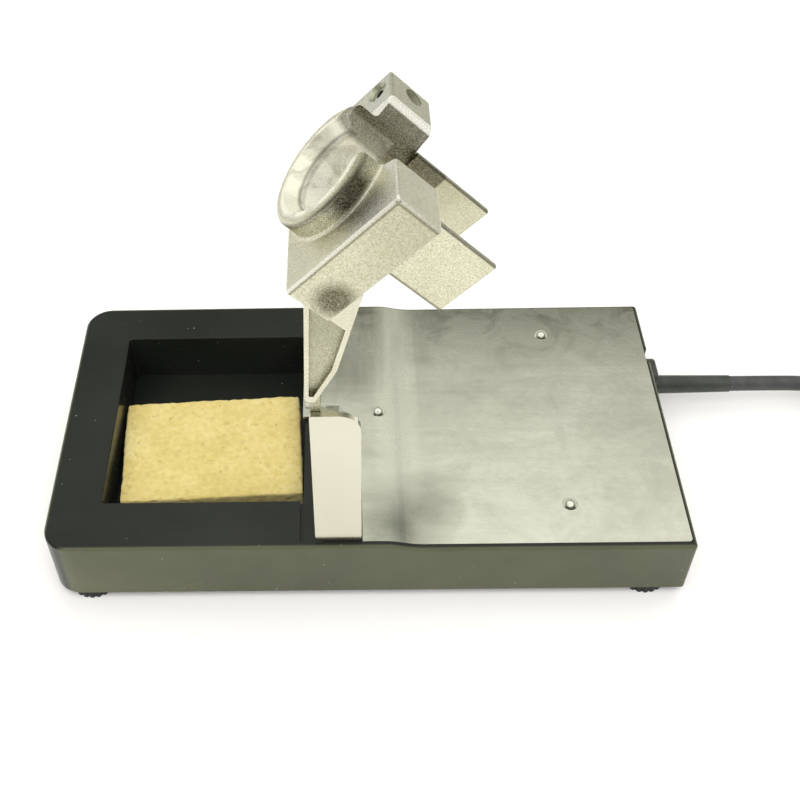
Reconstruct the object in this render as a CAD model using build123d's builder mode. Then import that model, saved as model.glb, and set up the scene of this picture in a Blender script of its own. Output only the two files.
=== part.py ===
from build123d import *
import math
import os

# Soldering iron stand with a low base, a die-cast tool holder on an upright plate and a
# thin lead. Origin on the table under the middle of the base, +X towards the lead,
# +Y to the back, +Z up, in millimetres.

# Driving dimensions: base
base_length = 180.0
base_width = 96.7
base_height = 21.0
foot_height = 3.0
deck_drop = 1.65
ramp_start = 6.5
ramp_end = 13.0
ramp_radius = 20.0
wall = 2.5
ceiling = 2.0
near_corner_radius = 8.0
rim_round = 0.9
far_corner_radius = 1.2

base_top = foot_height + base_height
deck_end_top = base_top - deck_drop

# Driving dimensions: deck sheet and sponge pocket
deck_sheet = 0.8
deck_left = -18.5
deck_right = 88.8
deck_front = -46.4
deck_back = 47.5
deck_play = 0.1
notch_right = -1.3
notch_back = -0.5
pocket_left = -75.0
pocket_right = -17.8
pocket_front = -32.2
pocket_back = 34.0
pocket_floor = 7.2
pocket_wall = 2.0
sponge_length = 54.6
sponge_width = 39.5
sponge_thickness = 8.0
sponge_centre = (-46.4, -4.3)
sponge_turn = 3.0

# Driving dimensions: fasteners
rivet_places = [(57.3, 35.0), (4.1, 1.4), (57.2, -33.2)]
terminal_place = rivet_places[0]
rivet_shank = 2.5
rivet_head = 4.3
rivet_head_height = 1.3
rivet_tail = 4.0
rivet_tail_height = 1.2
washer_thickness = 0.8
screw_shank = 3.0
screw_head = 5.6
screw_head_height = 1.6
hole_play = 0.05
boss_radius = 3.5
foot_radius = 7.0
foot_places = {
    "front_left": (-79.5, -41.2),
    "front_right": (79.5, -41.2),
    "back_left": (-79.5, 41.2),
    "back_right": (79.5, 41.2),
}
cover_screw_places = [(-20.0, -42.6), (45.0, -42.6), (-20.0, 42.6), (45.0, 42.6)]
ballast_screw_places = [(0.0, -27.0), (60.0, -27.0), (0.0, 27.0), (50.0, 27.0)]
cover_thickness = 1.2
ballast_bottom = 6.0
ballast_thickness = 5.5

# Driving dimensions: upright plate that carries the holder
sheet = 1.6
upright_left = -14.2
upright_right = -1.6
upright_top = 75.2
upright_front = deck_front
upright_back = upright_front + sheet
bracket_foot_left = -11.6
bracket_foot_back = -8.0
bracket_screw_places = [(-6.6, -34.0), (-6.6, -16.0)]
pivot_x = -8.6
pivot_z = 67.0
clamp_radius = 14.0
tilt_range = 10.0
stud_diameter = 3.0

# Driving dimensions: tool holder casting. Its own axes are "along", the way the iron
# points, and "across", square to it and upwards. Its third axis is +Y.
tilt = 43.9
head_corner = Vector(-17.9, -47.4, 116.0)
head_width = 47.0
head_height = 34.4
head_depth = 12.8
bore_height = 17.45
bore_radius = 10.1
mouth_radius = 12.4
throat_radius = 8.0
throat_start = 7.0
ring_radius = 15.55
ring_reach = 5.5
slot_half = 8.0
slot_flare_half = 10.1
slot_flare_start = 11.0
# The slot's far wall leans away and rounds off: (distance from the bore centre, height)
slot_far_line = [(8.0, 7.5), (10.6, 13.5), (11.4, 15.8), (13.0, 16.95)]
fin_thickness = 1.6
fin_end = 36.6
fin_low = -5.65
fin_high = 12.05
lug_hole = (7.1, 19.7)
lug_hole_radius = 2.4
lug_hole_depth = 9.0
lug_screw_height = 12.45
lug_screw_radius = 2.0
leg_front = -46.2
leg_back = -41.8
boss_end = -11.4
boss_length = 2.6
web_front = -44.7
earth_screw_y = -41.5
earth_screw_z = 77.0
earth_screw_head = 2.8

along = Vector(math.cos(math.radians(tilt)), 0, -math.sin(math.radians(tilt)))
across = Vector(math.sin(math.radians(tilt)), 0, math.cos(math.radians(tilt)))
bore_centre = head_corner + across * bore_height + Vector(0, head_width / 2, 0)
bore_plane = Plane(origin=bore_centre, x_dir=(0, 1, 0), z_dir=along)
side_plane = Plane(origin=bore_centre, x_dir=along, z_dir=(0, -1, 0))
head_top = head_height - bore_height
lug_plane = Plane(origin=bore_centre + across * head_top, x_dir=along, z_dir=across)

# Driving dimensions: lead
cord_diameter = 4.9
cord_y = 25.5
cord_z = 8.5
gland_slot = 6.5
relief_end = 118.1
flange_thickness = 3.6
relief_inner_end = 84.0
inner_cord_end = 80.0
turn_pitch = 5.0
coil_x = 182.0
coil_outer_turn = 31.8
coil_columns = 3
coil_layers = 3
coil_turns = 5.25
coil_floor = 0.9
coil_mean_radius = coil_outer_turn - turn_pitch * (coil_columns - 1) / 2
coil_y = cord_y - coil_outer_turn
coil_low_axis = coil_floor + cord_diameter / 2
coil_top_axis = coil_low_axis + (coil_layers - 1) * turn_pitch
plug_radius = 4.5
plug_y = -53.0
plug_x = coil_x + coil_outer_turn + 0.6
lead_route = [
    (relief_end, cord_y, cord_z),
    (128.0, cord_y, cord_z),
    (145.0, cord_y + 0.2, cord_z - 0.5),
    (158.0, cord_y + 0.1, coil_low_axis + 0.8),
    (168.0, cord_y, coil_low_axis),
]
tail_route = [
    (coil_x + coil_outer_turn, coil_y - 13.0, coil_top_axis),
    (plug_x - 0.3, coil_y - 24.0, coil_top_axis - 1.4),
    (plug_x, coil_y - 38.0, plug_radius),
    (plug_x, plug_y, plug_radius),
]

os.makedirs("parts", exist_ok=True)


def ramp_outline(left, right, lower, upper, lower_follows):
    """Lines seen from the front whose top, and if asked its bottom, follows the ramp."""
    drop = deck_drop if lower_follows else 0.0
    FilletPolyline(
        (left, upper), (ramp_start, upper), (ramp_end, upper - deck_drop),
        (right, upper - deck_drop), radius=ramp_radius,
    )
    Line((right, upper - deck_drop), (right, lower - drop))
    if lower_follows:
        FilletPolyline(
            (right, lower - drop), (ramp_end, lower - drop), (ramp_start, lower),
            (left, lower), radius=ramp_radius,
        )
    else:
        Line((right, lower), (left, lower))
    Line((left, lower), (left, upper))


def hex_sketch(across_flats, hole):
    """Hexagon with a round hole."""
    RegularPolygon(across_flats / 2, 6, major_radius=False)
    Circle(hole, mode=Mode.SUBTRACT)


def tube_path(route):
    """Straight runs joined by tangent arcs as large as the runs allow. Prints the radii."""
    points = [Vector(*place) for place in route]
    radii = []
    for before, here, after in zip(points, points[1:], points[2:]):
        run_in = here - before
        run_out = after - here
        half_turn = math.radians(run_in.get_angle(run_out)) / 2
        radii.append(0.45 * min(run_in.length, run_out.length) / math.tan(half_turn))
    print("bend radii", [round(radius, 1) for radius in radii])
    return FilletPolyline(*points, radius=radii)


def finish(name, part):
    """Labels a finished piece and writes it."""
    part.label = name
    export_step(part, f"parts/{name}.step")


# Base housing: one moulding, open underneath, with the sponge pocket and the deck recess
recess_mid_y = (deck_front + deck_back) / 2
recess_width = deck_back - deck_front + 2 * deck_play
recess_plane = Plane(origin=(0, recess_mid_y, 0), x_dir=(1, 0, 0), z_dir=(0, -1, 0))
cavity_top = deck_end_top - deck_sheet - ceiling
pocket_length = pocket_right - pocket_left
pocket_width = pocket_back - pocket_front
pocket_centre = ((pocket_left + pocket_right) / 2, (pocket_front + pocket_back) / 2)
notch_width = notch_right - deck_left + deck_play
notch_depth = notch_back - deck_front + 2 * deck_play
notch_centre = ((deck_left - deck_play + notch_right) / 2, (deck_front + notch_back) / 2)
cover_top = foot_height + cover_thickness
ballast_top = ballast_bottom + ballast_thickness
bracket_boss_bottom = 13.0

with BuildPart() as base_housing:
    with BuildSketch(Plane.XZ):
        with BuildLine():
            ramp_outline(-base_length / 2, base_length / 2, foot_height, base_top, False)
        make_face()
    extrude(amount=base_width / 2, both=True)
    uprights = base_housing.edges().filter_by(Axis.Z)
    fillet(uprights.group_by(Axis.X)[0], radius=near_corner_radius)
    fillet(base_housing.edges().filter_by(Axis.Z).group_by(Axis.X)[-1], radius=far_corner_radius)
    top_faces = base_housing.faces().filter_by(lambda face: face.normal_at().Z > 0.9)
    inner_edges = top_faces.edges().filter_by(Axis.Y).filter_by(
        lambda edge: abs(edge.center().X) < base_length / 2 - near_corner_radius
    )
    rim_edges = [edge for edge in top_faces.edges() if edge not in inner_edges]
    fillet(rim_edges, radius=rim_round)
    with BuildSketch(Plane.XY.offset(foot_height)):
        RectangleRounded(base_length - 2 * wall, base_width - 2 * wall, near_corner_radius - wall)
    extrude(amount=cavity_top - foot_height, mode=Mode.SUBTRACT)
    # The pocket's tub hangs inside the cavity
    with BuildSketch(Plane.XY.offset(pocket_floor - pocket_wall)):
        with Locations(pocket_centre):
            Rectangle(pocket_length + 2 * pocket_wall, pocket_width + 2 * pocket_wall)
    extrude(amount=cavity_top - pocket_floor + pocket_wall)
    with BuildSketch(Plane.XY.offset(cover_top)):
        with Locations(*cover_screw_places, *foot_places.values()):
            Circle(boss_radius)
    extrude(amount=cavity_top - cover_top)
    with BuildSketch(Plane.XY.offset(ballast_top)):
        with Locations(*ballast_screw_places):
            Circle(boss_radius)
    extrude(amount=cavity_top - ballast_top)
    with BuildSketch(Plane.XY.offset(bracket_boss_bottom)):
        with Locations(*bracket_screw_places):
            Circle(boss_radius)
    extrude(amount=cavity_top - bracket_boss_bottom)
    with BuildSketch(Plane.XY.offset(pocket_floor)):
        with Locations(pocket_centre):
            RectangleRounded(pocket_length, pocket_width, 1.0)
    extrude(amount=base_height, mode=Mode.SUBTRACT)
    mouth_edges = base_housing.edges().filter_by_position(Axis.Z, base_top - 0.01, base_top + 0.01)
    mouth_edges = mouth_edges.filter_by_position(Axis.X, pocket_left - 0.1, pocket_right + 0.1)
    mouth_edges = mouth_edges.filter_by_position(Axis.Y, pocket_front - 0.1, pocket_back + 0.1)
    fillet(mouth_edges, radius=0.4)
    # Recess that the deck sheet lies in, deeper in front under the upright's foot
    with BuildSketch(recess_plane):
        with BuildLine():
            ramp_outline(
                deck_left - deck_play, deck_right + deck_play, base_top - deck_sheet,
                base_top + 1.0, True,
            )
        make_face()
    extrude(amount=recess_width / 2, both=True, mode=Mode.SUBTRACT)
    with BuildSketch(Plane.XY.offset(base_top - sheet)):
        with Locations(notch_centre):
            Rectangle(notch_width, notch_depth)
    extrude(amount=2 * sheet, mode=Mode.SUBTRACT)
    # Slot in the cord end's wall for the grommet
    with BuildSketch(Plane.YZ.offset(base_length / 2 - wall - 0.5)):
        with Locations((cord_y, cord_z)):
            Circle(gland_slot / 2)
        with Locations((cord_y, cord_z + base_height / 2)):
            Rectangle(gland_slot, base_height)
    extrude(amount=wall + 1.0, mode=Mode.SUBTRACT)
    with Locations(*[(x, y, foot_height) for x, y in cover_screw_places]):
        Cylinder(screw_shank / 2 + hole_play, 12.0, align=(Align.CENTER, Align.CENTER, Align.MIN),
                 mode=Mode.SUBTRACT)
    with Locations(*[(x, y, foot_height) for x, y in foot_places.values()]):
        Cylinder(screw_shank / 2 + hole_play, 12.0, align=(Align.CENTER, Align.CENTER, Align.MIN),
                 mode=Mode.SUBTRACT)
    with Locations(*[(x, y, ballast_top) for x, y in ballast_screw_places]):
        Cylinder(screw_shank / 2 + hole_play, 5.0, align=(Align.CENTER, Align.CENTER, Align.MIN),
                 mode=Mode.SUBTRACT)
    with Locations(*[(x, y, base_top) for x, y in bracket_screw_places]):
        Cylinder(screw_shank / 2 + hole_play, 9.2, align=(Align.CENTER, Align.CENTER, Align.MAX),
                 mode=Mode.SUBTRACT)
    with Locations(*[(x, y, cavity_top - 1.0) for x, y in rivet_places]):
        Cylinder(rivet_shank / 2 + hole_play, 6.0, align=(Align.CENTER, Align.CENTER, Align.MIN),
                 mode=Mode.SUBTRACT)
finish("base_housing", base_housing.part)

# Bottom cover: a sheet inside the walls, with countersunk screws
with BuildPart() as bottom_cover:
    with BuildSketch(Plane.XY.offset(foot_height)):
        RectangleRounded(
            base_length - 2 * wall - 0.4, base_width - 2 * wall - 0.4, near_corner_radius - wall
        )
    extrude(amount=cover_thickness)
    with BuildSketch(Plane.XY.offset(foot_height)):
        with Locations(*foot_places.values(), *cover_screw_places):
            Circle(screw_shank / 2 + hole_play)
    extrude(amount=cover_thickness, mode=Mode.SUBTRACT)
finish("bottom_cover", bottom_cover.part)

# Ballast plate: steel, hung from the ceiling of the base
with BuildPart() as ballast_plate:
    with BuildSketch(Plane.XY.offset(ballast_bottom)):
        with Locations((30.0, 0.0)):
            RectangleRounded(78.0, 66.0, 3.0)
        with Locations(*ballast_screw_places):
            Circle(screw_shank / 2 + hole_play, mode=Mode.SUBTRACT)
    extrude(amount=ballast_thickness)
finish("ballast_plate", ballast_plate.part)


def pan_screw(places, seat, length):
    """Pan-head screws whose heads hang under a face and whose shanks point up."""
    with Locations(*[(x, y, seat) for x, y in places]):
        Cylinder(screw_shank / 2, length, align=(Align.CENTER, Align.CENTER, Align.MIN))
        Cylinder(screw_head / 2, screw_head_height, align=(Align.CENTER, Align.CENTER, Align.MAX))
    heads = faces().filter_by(Plane.XY).group_by(Axis.Z)[0]
    fillet(heads.edges(), radius=0.5)
    with Locations(*[(x, y, seat - screw_head_height) for x, y in places]):
        Box(3.2, 0.7, 0.9, align=(Align.CENTER, Align.CENTER, Align.MIN), mode=Mode.SUBTRACT)
        Box(0.7, 3.2, 0.9, align=(Align.CENTER, Align.CENTER, Align.MIN), mode=Mode.SUBTRACT)


with BuildPart() as ballast_screws:
    pan_screw(ballast_screw_places, ballast_bottom, ballast_thickness + 4.5)
finish("ballast_screws", ballast_screws.part)

with BuildPart() as cover_screws:
    pan_screw(cover_screw_places, foot_height, 10.0)
finish("cover_screws", cover_screws.part)

# Rubber feet: a scalloped disc with a sunk screw
foot_screw_seat = foot_height - 0.8
for place, (x, y) in foot_places.items():
    with BuildPart() as foot:
        with BuildSketch(Plane.XY):
            with Locations((x, y)):
                Circle(foot_radius)
                with PolarLocations(foot_radius + 0.15, 22):
                    Circle(0.55, mode=Mode.SUBTRACT)
                Circle(screw_shank / 2 + hole_play, mode=Mode.SUBTRACT)
        extrude(amount=foot_height)
        with Locations((x, y, 0)):
            Cylinder(screw_head / 2 + 0.2, foot_screw_seat, mode=Mode.SUBTRACT,
                     align=(Align.CENTER, Align.CENTER, Align.MIN))
    finish(f"foot_{place}", foot.part)

with BuildPart() as foot_screws:
    pan_screw(foot_places.values(), foot_screw_seat, 9.0)
finish("foot_screws", foot_screws.part)

# Deck sheet: galvanized, joggled to follow the base, notched round the upright
with BuildPart() as deck_plate:
    with BuildSketch(recess_plane):
        with BuildLine():
            ramp_outline(deck_left, deck_right, base_top - deck_sheet, base_top, True)
        make_face()
    extrude(amount=(deck_back - deck_front) / 2, both=True)
    with BuildSketch(Plane.XY.offset(base_top - 3.0)):
        with Locations((deck_left, deck_front)):
            Rectangle(notch_right - deck_left, notch_back - deck_front, align=Align.MIN)
    extrude(amount=4.0, mode=Mode.SUBTRACT)
    inner_corner = deck_plate.edges().filter_by(Axis.Z).filter_by_position(
        Axis.X, notch_right - 0.1, notch_right + 0.1).sort_by(Axis.Y)[-1]
    fillet(inner_corner, radius=4.0)
    fillet(deck_plate.edges().filter_by(Axis.Z).group_by(Axis.X)[-1], radius=1.0)
    with Locations(*[(x, y, base_top) for x, y in rivet_places]):
        Cylinder(rivet_shank / 2 + hole_play, 8.0, mode=Mode.SUBTRACT)
finish("deck_plate", deck_plate.part)

# Rivets: domed head on the deck, shank through the base, tail against a washer
terminal_thickness = 0.8
with BuildPart() as deck_rivets:
    for x, y in rivet_places:
        seat = base_top if x < ramp_start else deck_end_top
        stack = washer_thickness + (terminal_thickness if (x, y) == terminal_place else 0.0)
        tail_top = cavity_top - stack
        dome_radius = ((rivet_head / 2) ** 2 + rivet_head_height ** 2) / (2 * rivet_head_height)
        with BuildSketch(Plane(origin=(x, y, 0), x_dir=(1, 0, 0), z_dir=(0, -1, 0))):
            with BuildLine():
                RadiusArc((0, seat + rivet_head_height), (rivet_head / 2, seat), dome_radius)
                Polyline(
                    (rivet_head / 2, seat), (rivet_shank / 2, seat), (rivet_shank / 2, tail_top),
                    (rivet_tail / 2, tail_top), (rivet_tail / 2, tail_top - rivet_tail_height),
                    (0, tail_top - rivet_tail_height), (0, seat + rivet_head_height),
                )
            make_face()
        revolve(axis=Axis((x, y, 0), (0, 0, 1)))
finish("deck_rivets", deck_rivets.part)

with BuildPart() as rivet_washers:
    for x, y in rivet_places:
        with BuildSketch(Plane.XY.offset(cavity_top - washer_thickness)):
            with Locations((x, y)):
                Circle(3.2)
                Circle(rivet_shank / 2 + hole_play, mode=Mode.SUBTRACT)
        extrude(amount=washer_thickness)
finish("rivet_washers", rivet_washers.part)

# Upright: a bright plate that stands in the deck's notch, with its foot bent to the back
with BuildPart() as upright:
    with BuildSketch(Plane.XZ.offset(-upright_front)) as upright_outline:
        with Locations(((upright_left + upright_right) / 2, base_top)):
            Rectangle(
                upright_right - upright_left, upright_top - base_top, align=(Align.CENTER, Align.MIN)
            )
        corners = upright_outline.vertices().sort_by(Axis.Y)
        fillet(corners[-2:].sort_by(Axis.X)[-1], radius=5.5)
        fillet(upright_outline.vertices().sort_by(Axis.Y)[:2].sort_by(Axis.X)[0], radius=2.5)
        fillet(upright_outline.vertices().group_by(Axis.Y)[-1].sort_by(Axis.X)[0], radius=0.8)
    extrude(amount=-sheet)
    with BuildSketch(Plane.YZ.offset(bracket_foot_left)) as bend:
        with BuildLine():
            Polyline(
                (upright_front, base_top + 2.0), (upright_front, base_top - sheet),
                (bracket_foot_back, base_top - sheet), (bracket_foot_back, base_top),
                (upright_back, base_top), (upright_back, base_top + 2.0),
                (upright_front, base_top + 2.0),
            )
        make_face()
        fillet(bend.vertices().group_by(Axis.Y)[0].sort_by(Axis.X)[0], radius=2.0)
    extrude(amount=upright_right - bracket_foot_left)
    with BuildSketch(Plane.XY.offset(base_top - sheet)):
        with Locations(*bracket_screw_places):
            Circle(screw_shank / 2 + hole_play)
    extrude(amount=sheet, mode=Mode.SUBTRACT)
    # Blind holes that the two studs are pressed into from the back
    with BuildSketch(Plane.XZ.offset(-upright_back)):
        with Locations((pivot_x, pivot_z), (pivot_x, pivot_z - clamp_radius)):
            Circle(stud_diameter / 2)
    extrude(amount=sheet / 2, mode=Mode.SUBTRACT)
finish("upright", upright.part)

with BuildPart() as bracket_screws:
    with Locations(*[(x, y, base_top) for x, y in bracket_screw_places]):
        Cylinder(screw_shank / 2, 9.0, align=(Align.CENTER, Align.CENTER, Align.MAX))
        Cylinder(screw_head / 2, screw_head_height, align=(Align.CENTER, Align.CENTER, Align.MIN))
    head_tops = bracket_screws.faces().filter_by(Plane.XY).group_by(Axis.Z)[-1]
    fillet(head_tops.edges(), radius=0.5)
    with Locations(*[(x, y, base_top + screw_head_height) for x, y in bracket_screw_places]):
        Box(3.2, 0.7, 0.9, align=(Align.CENTER, Align.CENTER, Align.MAX), mode=Mode.SUBTRACT)
        Box(0.7, 3.2, 0.9, align=(Align.CENTER, Align.CENTER, Align.MAX), mode=Mode.SUBTRACT)
finish("bracket_screws", bracket_screws.part)

# Two studs stand out of the upright's back: the upper is the pivot, the lower clamps
stud_end = -36.6
washer_front = leg_back + 0.1
spring_front = washer_front + 0.7
nut_front = spring_front + 0.8
stud_places = [(pivot_x, pivot_z), (pivot_x, pivot_z - clamp_radius)]

with BuildPart() as holder_studs:
    with BuildSketch(Plane.XZ.offset(-(upright_back - sheet / 2))):
        with Locations(*stud_places):
            Circle(stud_diameter / 2)
    extrude(amount=-(stud_end - upright_back + sheet / 2))
finish("holder_studs", holder_studs.part)

with BuildPart() as holder_washers:
    with BuildSketch(Plane.XZ.offset(-washer_front)):
        with Locations(*stud_places):
            Circle(4.2)
            Circle(stud_diameter / 2 + hole_play, mode=Mode.SUBTRACT)
    extrude(amount=-(spring_front - washer_front))
finish("holder_washers", holder_washers.part)

with BuildPart() as spring_washers:
    with BuildSketch(Plane.XZ.offset(-spring_front)):
        with Locations(*stud_places):
            Circle(2.8)
            Circle(stud_diameter / 2 + hole_play, mode=Mode.SUBTRACT)
        with Locations(*[(x + 2.2, z) for x, z in stud_places]):
            Rectangle(1.6, 0.5, mode=Mode.SUBTRACT)
    extrude(amount=-(nut_front - spring_front))
finish("spring_washers", spring_washers.part)

with BuildPart() as holder_nuts:
    with BuildSketch(Plane.XZ.offset(-nut_front)):
        with Locations(*stud_places):
            hex_sketch(5.5, stud_diameter / 2 + hole_play)
    extrude(amount=-2.4)
finish("holder_nuts", holder_nuts.part)

# Tool holder casting: a slotted ring and block for the iron, two fins, and the leg
block_round = 0.7
fin_round = 0.45
root_round = 0.9


def along_of(edge):
    """How far an edge's middle lies from the block's front face, along the bore."""
    return (edge.center() - bore_centre).dot(along)


with BuildPart() as tool_holder:
    # Block
    with BuildSketch(bore_plane):
        with Locations((0, head_height / 2 - bore_height)):
            Rectangle(head_width, head_height)
    extrude(amount=head_depth)
    fillet(tool_holder.edges(), radius=block_round)
    # Leg with its raised border, behind the block's near face
    with BuildSketch(Plane.XZ.offset(-leg_front)) as leg_outline:
        with BuildLine():
            Polyline(
                (-14.0, 113.0), (-1.1, 113.9), (-7.2, 90.5), (-12.6, 80.1), (-15.1, 80.1),
                (-14.0, 113.0),
            )
        make_face()
        fillet(leg_outline.vertices().group_by(Axis.Y)[0], radius=1.4)
        fillet(leg_outline.vertices().sort_by(Axis.X)[-2:].sort_by(Axis.Y)[0], radius=12.0)
    extrude(amount=-(leg_back - leg_front))
    with BuildSketch(Plane.XZ.offset(-leg_front)) as web_outline:
        with BuildLine():
            Polyline(
                (-12.9, 111.2), (-5.0, 103.6), (-8.4, 90.8), (-12.9, 82.0), (-14.0, 82.0),
                (-12.9, 111.2),
            )
        make_face()
        fillet(web_outline.vertices().group_by(Axis.Y)[0], radius=0.5)
    extrude(amount=-(web_front - leg_front), mode=Mode.SUBTRACT)
    # Tongue behind the upright, with the pivot hole and the clamp slot
    with BuildSketch(Plane.XZ.offset(-web_front)) as tongue_outline:
        with BuildLine():
            Polyline(
                (-14.0, 88.0), (-10.2, 88.0), (boss_end, 81.0), (boss_end, 74.0), (-3.4, 69.8),
                (-3.4, 47.0), (-14.0, 47.0), (-14.0, 88.0),
            )
        make_face()
        fillet(tongue_outline.vertices().group_by(Axis.Y)[0], radius=3.0)
        with Locations((pivot_x, pivot_z)):
            Circle(stud_diameter / 2 + hole_play, mode=Mode.SUBTRACT)
        with BuildLine(mode=Mode.PRIVATE) as clamp_arc:
            CenterArc((pivot_x, pivot_z), clamp_radius, 269 - tilt_range, 2 * tilt_range + 2)
        SlotArc(clamp_arc.wires()[0], stud_diameter + 0.3, mode=Mode.SUBTRACT)
    extrude(amount=-(leg_back - web_front))
    # Boss for the earth screw on the tongue's back
    with Locations((boss_end, leg_back, earth_screw_z)):
        Box(boss_length, 3.8, 8.0, align=(Align.MAX, Align.MIN, Align.CENTER))
    with Locations((-14.0, earth_screw_y, earth_screw_z)):
        Cylinder(1.25 + hole_play, boss_length, rotation=(0, 90, 0), mode=Mode.SUBTRACT,
                 align=(Align.CENTER, Align.CENTER, Align.MIN))
    # Fins beyond the block, in line with the slot's walls
    with BuildSketch(bore_plane.offset(head_depth - 1.0)):
        for fin_centre in (-slot_flare_half - fin_thickness / 2, slot_half + fin_thickness / 2):
            with Locations((fin_centre, (fin_low + fin_high) / 2)):
                Rectangle(fin_thickness, fin_high - fin_low)
    extrude(amount=fin_end - head_depth + 1.0)
    fin_edges = tool_holder.edges().filter_by(
        lambda edge: along_of(edge) > head_depth + 2.0
        and abs((edge.center() - bore_centre).Y) < slot_flare_half + fin_thickness + 0.1
    )
    fillet(fin_edges, radius=fin_round)
    # Ring in front of the block
    with BuildSketch(bore_plane):
        Circle(ring_radius)
    extrude(amount=-ring_reach)
    ring_edges = tool_holder.edges().filter_by(
        lambda edge: edge.geom_type == GeomType.CIRCLE and abs(edge.radius - ring_radius) < 0.01
    )
    fillet(ring_edges.sort_by(along_of)[0], radius=1.2)
    fillet(ring_edges.sort_by(along_of)[-1], radius=root_round)
    # Bore with its wide mouth and its narrower throat
    with BuildSketch(side_plane):
        with BuildLine():
            Polyline(
                (-ring_reach - 1.0, 0), (-ring_reach - 1.0, mouth_radius + 0.7),
                (-2.2, bore_radius), (throat_start, bore_radius), (throat_start, throat_radius),
                (head_depth + 1.0, throat_radius), (head_depth + 1.0, 0), (-ring_reach - 1.0, 0),
            )
        make_face()
    revolve(axis=Axis(bore_centre, along), mode=Mode.SUBTRACT)
    # Slot that opens the ring and the block upwards and flares towards the top
    with BuildSketch(bore_plane.offset(-ring_reach - 1.0)):
        with BuildLine():
            Polyline(
                (-slot_half, 0), (-slot_half, slot_flare_start), (-slot_flare_half, head_top),
                (-slot_flare_half, head_top + 2), (slot_far_line[-1][0], head_top + 2),
                *reversed(slot_far_line), (slot_half, 0), (-slot_half, 0),
            )
        make_face()
    extrude(amount=ring_reach + head_depth + 1.0, mode=Mode.SUBTRACT)
    # Weight-saving pockets in the block's back
    with BuildSketch(bore_plane.offset(4.0)):
        for side in (-1, 1):
            with Locations((side * 16.7, 2.0)):
                RectangleRounded(8.0, 10.6, 1.0)
    extrude(amount=head_depth, mode=Mode.SUBTRACT)
    # Hole for a rod in the far lug, and the screw hole that crosses it
    with BuildSketch(lug_plane):
        with Locations(lug_hole):
            Circle(lug_hole_radius)
    extrude(amount=-lug_hole_depth, mode=Mode.SUBTRACT)
    with BuildSketch(bore_plane):
        with Locations((lug_hole[1], lug_screw_height)):
            Circle(lug_screw_radius + hole_play)
    extrude(amount=lug_hole[0], mode=Mode.SUBTRACT)
    with BuildSketch(bore_plane):
        with Locations((lug_hole[1], lug_screw_height)):
            Circle(2.85)
    extrude(amount=0.9, taper=35, mode=Mode.SUBTRACT)
finish("tool_holder", tool_holder.part)

with BuildPart() as lug_screw:
    with BuildSketch(bore_plane.offset(0.9)):
        with Locations((lug_hole[1], lug_screw_height)):
            Circle(lug_screw_radius)
    extrude(amount=3.6)
    with BuildSketch(bore_plane.offset(0.9)):
        with Locations((lug_hole[1], lug_screw_height)):
            RegularPolygon(1.0, 6, major_radius=False)
    extrude(amount=1.6, mode=Mode.SUBTRACT)
finish("lug_screw", lug_screw.part)

with BuildPart() as earth_screw:
    with Locations((-14.0, earth_screw_y, earth_screw_z)):
        Cylinder(1.25, boss_length - 0.2, rotation=(0, 90, 0), align=(Align.CENTER, Align.CENTER, Align.MIN))
        Cylinder(earth_screw_head, 1.2, rotation=(0, 90, 0), align=(Align.CENTER, Align.CENTER, Align.MAX))
    fillet(earth_screw.faces().sort_by(Axis.X)[0].edges(), radius=0.5)
    with Locations((-15.2, earth_screw_y, earth_screw_z)):
        Box(0.7, 3.6, 0.7, align=(Align.MIN, Align.CENTER, Align.CENTER), mode=Mode.SUBTRACT)
finish("earth_screw", earth_screw.part)

# Sponge: a cut block of cellulose lying a little askew in the pocket
with BuildPart() as sponge:
    with BuildSketch(Plane.XY.offset(pocket_floor + 0.1)):
        with Locations(Location((*sponge_centre, 0), (0, 0, sponge_turn))):
            RectangleRounded(sponge_length, sponge_width, 1.5)
    extrude(amount=sponge_thickness)
    fillet(sponge.faces().sort_by(Axis.Z)[-1].edges(), radius=0.8)
finish("sponge", sponge.part)

# Grommet: fills the slot in the wall, with a flange outside and one inside
wall_outside = base_length / 2
grommet_top = 16.4
with BuildPart() as cable_grommet:
    with BuildSketch(Plane.YZ.offset(wall_outside - wall - 0.2)):
        with Locations((cord_y, cord_z)):
            Circle(gland_slot / 2 - 0.1)
        with Locations((cord_y, (cord_z + grommet_top) / 2)):
            Rectangle(gland_slot - 0.2, grommet_top - cord_z)
    extrude(amount=wall + 0.2)
    with BuildSketch(Plane.YZ.offset(wall_outside)):
        with Locations((cord_y, (grommet_top + cord_z) / 2 - 1.6)):
            RectangleRounded(9.6, 12.4, 2.5)
    extrude(amount=flange_thickness)
    fillet(cable_grommet.faces().sort_by(Axis.X)[-1].edges(), radius=0.8)
    with BuildSketch(Plane.YZ.offset(wall_outside - wall - 1.6)):
        with Locations((cord_y, (grommet_top + cord_z) / 2 - 1.6)):
            RectangleRounded(9.6, 12.4, 2.5)
    extrude(amount=1.4)
    with BuildSketch(Plane.YZ.offset(wall_outside - 10)):
        with Locations((cord_y, cord_z)):
            Circle(3.05)
    extrude(amount=20, mode=Mode.SUBTRACT)
finish("cable_grommet", cable_grommet.part)

# Strain relief: a tapered sleeve on the cord through the grommet
relief_root = wall_outside + flange_thickness
with BuildPart() as strain_relief:
    with BuildSketch(Plane(origin=(0, cord_y, cord_z), x_dir=(1, 0, 0), z_dir=(0, -1, 0))):
        with BuildLine():
            Polyline(
                (relief_inner_end, cord_diameter / 2 + hole_play), (relief_inner_end, 3.0),
                (relief_root, 3.0), (relief_end, 2.7), (relief_end, cord_diameter / 2 + hole_play),
                (relief_inner_end, cord_diameter / 2 + hole_play),
            )
        make_face()
    revolve(axis=Axis((0, cord_y, cord_z), (1, 0, 0)))
finish("strain_relief", strain_relief.part)

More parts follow.
